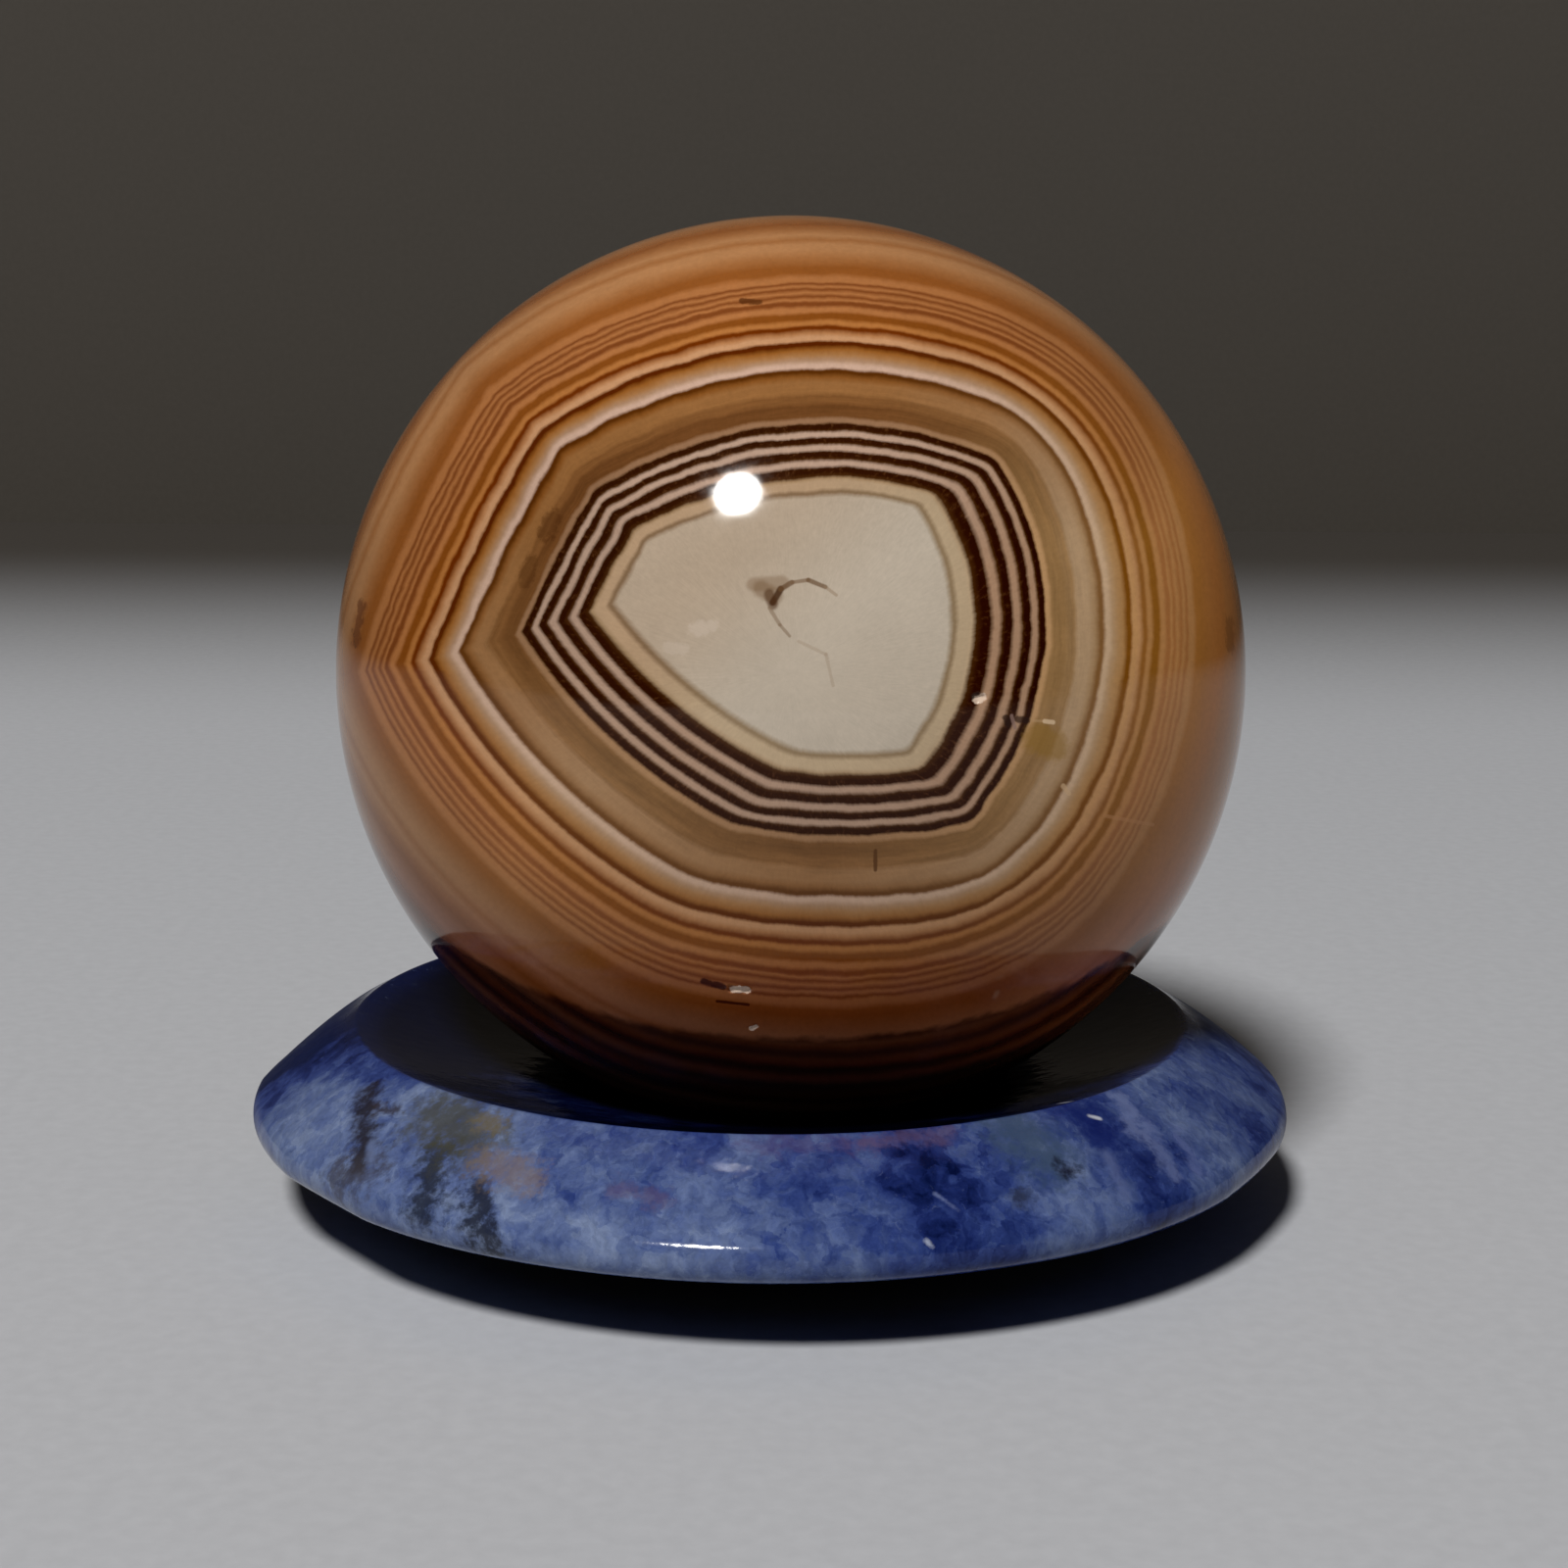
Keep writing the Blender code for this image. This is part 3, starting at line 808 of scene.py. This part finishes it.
def make_ball():
    """A round ball from a cube whose faces are cut finely, so that the points lie evenly all over it."""
    shape = bmesh.new()
    bmesh.ops.create_cube(shape, size=2.0)
    bmesh.ops.subdivide_edges(shape, edges=shape.edges[:], cuts=BALL_CUTS - 1, use_grid_fill=True)
    for vertex in shape.verts:
        vertex.co = Vector([math.tan(part * math.pi / 4) for part in vertex.co]).normalized()
    for chip in BALL_CHIPS:
        cut_chip(shape, *chip)
    for vertex in shape.verts:
        vertex.co = BALL_CENTRE + vertex.co * BALL_RADIUS
    mesh = bpy.data.meshes.new("polished_ball")
    shape.to_mesh(mesh)
    shape.free()
    return new_piece("polished_ball", mesh, agate_material(), "agate_ball")


# The ring's section, as its solid has it
EDGE_HEIGHT_MM = 3.7
EDGE_RADIUS_MM = 0.9
RIM_RADIUS_MM = 16.0
RIM_HEIGHT_MM = RING_HIGH[2] / MM
RIM_ROUND_MM = 0.25
LIP_RADIUS_MM = 1.5
HOLE_RADIUS_MM = 6.8
FOOT_RADIUS_MM = 11.4
FOOT_ROUND_MM = 0.6
SEAT_GAP_MM = 0.03
SHOULDER_RISE_MM = 0.14
BOWL_SAG_MM = 0.15
BOWL_MARGIN_MM = 1
RING_STEPS = 360

# The angles in degrees at which the rounded corners start and end
RIM_ANGLES = (115, 55)
EDGE_ANGLES = (46, -68)
FOOT_ANGLES = (-68, -90)
HOLE_ANGLES = (-90, -180)
LIP_ANGLES = (180, 105)


def arc(centre, radius, start, end, count):
    """Points on an arc between two angles in degrees."""
    points = []
    for step in range(count + 1):
        angle = math.radians(start + (end - start) * step / count)
        points.append((centre[0] + radius * math.cos(angle), centre[1] + radius * math.sin(angle)))
    return points


def bulged(start, end, rise, count):
    """The points between two others, on a line that rises in its middle."""
    along = (end[0] - start[0], end[1] - start[1])
    length = math.hypot(*along)
    side = (-along[1] / length, along[0] / length)
    points = []
    for step in range(1, count):
        part = step / count
        out = rise * 4 * part * (1 - part)
        points.append((start[0] + along[0] * part + side[0] * out,
                       start[1] + along[1] * part + side[1] * out))
    return points


def ring_profile():
    """The ring's section as distances from its axis and heights in millimetres, all the way round."""
    lip_centre_radius = HOLE_RADIUS_MM + LIP_RADIUS_MM
    reach = BALL_RADIUS / MM + SEAT_GAP_MM + LIP_RADIUS_MM
    lip_centre_height = BALL_CENTRE.z / MM - math.sqrt(reach ** 2 - lip_centre_radius ** 2)
    edge_centre = (RING_RADIUS / MM - EDGE_RADIUS_MM, EDGE_HEIGHT_MM)
    rim = arc((RIM_RADIUS_MM, RIM_HEIGHT_MM - RIM_ROUND_MM), RIM_ROUND_MM, *RIM_ANGLES, 6)
    edge = arc(edge_centre, EDGE_RADIUS_MM, *EDGE_ANGLES, 20)
    foot_corner = arc((FOOT_RADIUS_MM - FOOT_ROUND_MM, FOOT_ROUND_MM), FOOT_ROUND_MM, *FOOT_ANGLES, 3)
    hole_corner = arc((HOLE_RADIUS_MM + FOOT_ROUND_MM, FOOT_ROUND_MM), FOOT_ROUND_MM, *HOLE_ANGLES, 5)
    lip = arc((lip_centre_radius, lip_centre_height), LIP_RADIUS_MM, *LIP_ANGLES, 12)
    shoulder = bulged(rim[-1], edge[0], SHOULDER_RISE_MM, 22)
    underside = bulged(edge[-1], foot_corner[0], 0.0, 16)
    foot = bulged(foot_corner[-1], hole_corner[0], 0.0, 6)
    wall = bulged(hole_corner[-1], lip[0], 0.0, 4)
    bowl = bulged(lip[-1], rim[0], -BOWL_SAG_MM, 30)
    return rim + shoulder + edge + underside + foot_corner + foot + hole_corner + wall + lip + bowl


# Flats left by the hand cut of the outer edge: the bearing of the middle and half the width in degrees, and
# the depth in millimetres
EDGE_FLATS = ((-101, 13, 0.24), (-54, 8, 0.14), (64, 9, 0.10), (128, 18, 0.16), (-150, 22, 0.18))

# The edge's slow waviness, and how far outside the rim the hand cut starts and over what width it grows
WAVINESS_MM = 0.06
WAVINESS_SCALE = 2.5
CUT_START_MM = 1
CUT_GROWTH_MM = 2.5


def uneven_cut(bearing, radius):
    """How far the outer edge is cut back at a bearing, fading out towards the rim."""
    degrees = math.degrees(bearing)
    direction = Vector((math.cos(bearing), math.sin(bearing), 0))
    depth = WAVINESS_MM * (1 + noise.noise(direction * WAVINESS_SCALE))
    for middle, half_width, flat_depth in EDGE_FLATS:
        away = abs((degrees - middle + 180) % 360 - 180)
        depth += flat_depth * max(1 - (away / half_width) ** 2, 0)
    outer = min(max((radius - RIM_RADIUS_MM - CUT_START_MM) / CUT_GROWTH_MM, 0), 1)
    return depth * outer


def make_ring():
    profile = ring_profile()
    mesh = bpy.data.meshes.new("sodalite_ring")
    shape = bmesh.new()
    rows = []
    for step in range(RING_STEPS):
        angle = math.tau * step / RING_STEPS
        rows.append([shape.verts.new((radius * MM * math.cos(angle), radius * MM * math.sin(angle),
                                      height * MM)) for radius, height in profile])
    for step, row in enumerate(rows):
        following = rows[(step + 1) % RING_STEPS]
        for index in range(len(profile)):
            after = (index + 1) % len(profile)
            shape.faces.new((row[index], row[after], following[after], following[index]))
    # The hole and the lip lie under the ball's middle, the outside round the ring's own
    full_inside = HOLE_RADIUS_MM + 2 * LIP_RADIUS_MM
    none_outside = RIM_RADIUS_MM - BOWL_MARGIN_MM
    for vertex in shape.verts:
        radius = vertex.co.xy.length / MM
        cut = uneven_cut(math.atan2(vertex.co.x, -vertex.co.y), radius)
        vertex.co.xy *= 1 - cut / radius
        share = (none_outside - radius) / (none_outside - full_inside)
        vertex.co.x += BALL_CENTRE.x * min(max(share, 0), 1)
    bmesh.ops.recalc_face_normals(shape, faces=shape.faces[:])
    shape.to_mesh(mesh)
    shape.free()
    return new_piece("sodalite_ring", mesh, sodalite_material(), "stone_ring")


# The stage: a pale table that falls into shade towards a dim wall behind it
TABLE_HALF_WIDTH = 3.0
TABLE_FRONT = -2.5
WALL_DISTANCE = 0.26
WALL_HEIGHT = 1.6
SHADE_START = 0.10
SHADE_END = 0.235
TABLE_COLOUR = colour(190, 192, 197)
TABLE_SHADE_COLOUR = colour(80, 76, 72)
WALL_COLOUR = colour(80, 76, 71)
WALL_FOOT = 0.0001
SPECKLE_WASH = (1400.0, 2.0, 0.5, (0.3, 0.7), (0.97, 1.03))
STAGE_ROUGHNESS = 0.8
STAGE_HIGHLIGHT = 0.15


def stage_material():
    nodes = Nodes("stage")
    place = nodes.add("ShaderNodeTexCoord").outputs["Object"]
    parts = nodes.add("ShaderNodeSeparateXYZ", {0: place})
    shade = nodes.smooth(parts.outputs["Y"], SHADE_START, SHADE_END)
    wall = nodes.math("GREATER_THAN", parts.outputs["Z"], WALL_FOOT)
    speckle = nodes.wash(place, SPECKLE_WASH)
    table = nodes.mix(shade, TABLE_COLOUR, TABLE_SHADE_COLOUR)
    nodes.put(nodes.shader.inputs["Base Color"], nodes.scaled(nodes.mix(wall, table, WALL_COLOUR), speckle))
    nodes.put(nodes.shader.inputs["Roughness"], STAGE_ROUGHNESS)
    nodes.put(nodes.shader.inputs["Specular IOR Level"], STAGE_HIGHLIGHT)
    return nodes.material


def make_stage():
    shape = bmesh.new()
    outline = [(TABLE_FRONT, 0.0), (WALL_DISTANCE, 0.0), (WALL_DISTANCE, WALL_HEIGHT)]
    rows = [[shape.verts.new((side * TABLE_HALF_WIDTH, y, z)) for y, z in outline] for side in (-1, 1)]
    for index in range(len(outline) - 1):
        shape.faces.new((rows[0][index], rows[1][index], rows[1][index + 1], rows[0][index + 1]))
    mesh = bpy.data.meshes.new("stage")
    shape.to_mesh(mesh)
    shape.free()
    stage = bpy.data.objects.new("stage", mesh)
    bpy.context.scene.collection.objects.link(stage)
    mesh.materials.append(stage_material())


def make_lights():
    lamp = bpy.data.lights.new("lamp", "POINT")
    lamp.energy = LAMP_POWER
    lamp.shadow_soft_size = LAMP_RADIUS
    lamp.color = LAMP_COLOUR
    lamp_object = bpy.data.objects.new("lamp", lamp)
    lamp_object.location = BALL_CENTRE + LAMP_DIRECTION * LAMP_DISTANCE
    bpy.context.scene.collection.objects.link(lamp_object)
    world = bpy.data.worlds.new("room")
    world.use_nodes = True
    background = world.node_tree.nodes["Background"]
    background.inputs["Color"].default_value = ROOM_COLOUR
    background.inputs["Strength"].default_value = ROOM_STRENGTH
    bpy.context.scene.world = world


def make_camera():
    camera = bpy.data.cameras.new("camera")
    camera.lens = CAMERA_LENS
    camera.sensor_width = SENSOR_WIDTH
    camera.clip_start = NEAREST_SEEN
    camera_object = bpy.data.objects.new("camera", camera)
    look = (CAMERA_AIM - CAMERA_PLACE).to_track_quat("-Z", "Y").to_matrix().to_4x4()
    roll = Matrix.Rotation(CAMERA_ROLL, 4, "Z")
    camera_object.matrix_world = Matrix.Translation(CAMERA_PLACE) @ look @ roll
    bpy.context.scene.collection.objects.link(camera_object)
    bpy.context.scene.camera = camera_object


# The photograph's tone curve: scene values and the values that they are shown as
TONE_CURVE = (
    (0.0, 0.0), (0.0025, 0.0006), (0.005, 0.0018), (0.01, 0.0053), (0.02, 0.0138), (0.04, 0.0325),
    (0.08, 0.0715), (0.16, 0.151), (0.4, 0.391), (1.0, 1.0),
)


def set_tone():
    view = bpy.context.scene.view_settings
    view.view_transform = "Standard"
    view.use_curve_mapping = True
    curve = view.curve_mapping.curves[3]
    while len(curve.points) < len(TONE_CURVE):
        curve.points.new(0.5, 0.5)
    for point, place in zip(curve.points, TONE_CURVE):
        point.location = place
        point.handle_type = "VECTOR"
    view.curve_mapping.update()


make_ball()
make_ring()
make_stage()
make_lights()
make_camera()
set_tone()
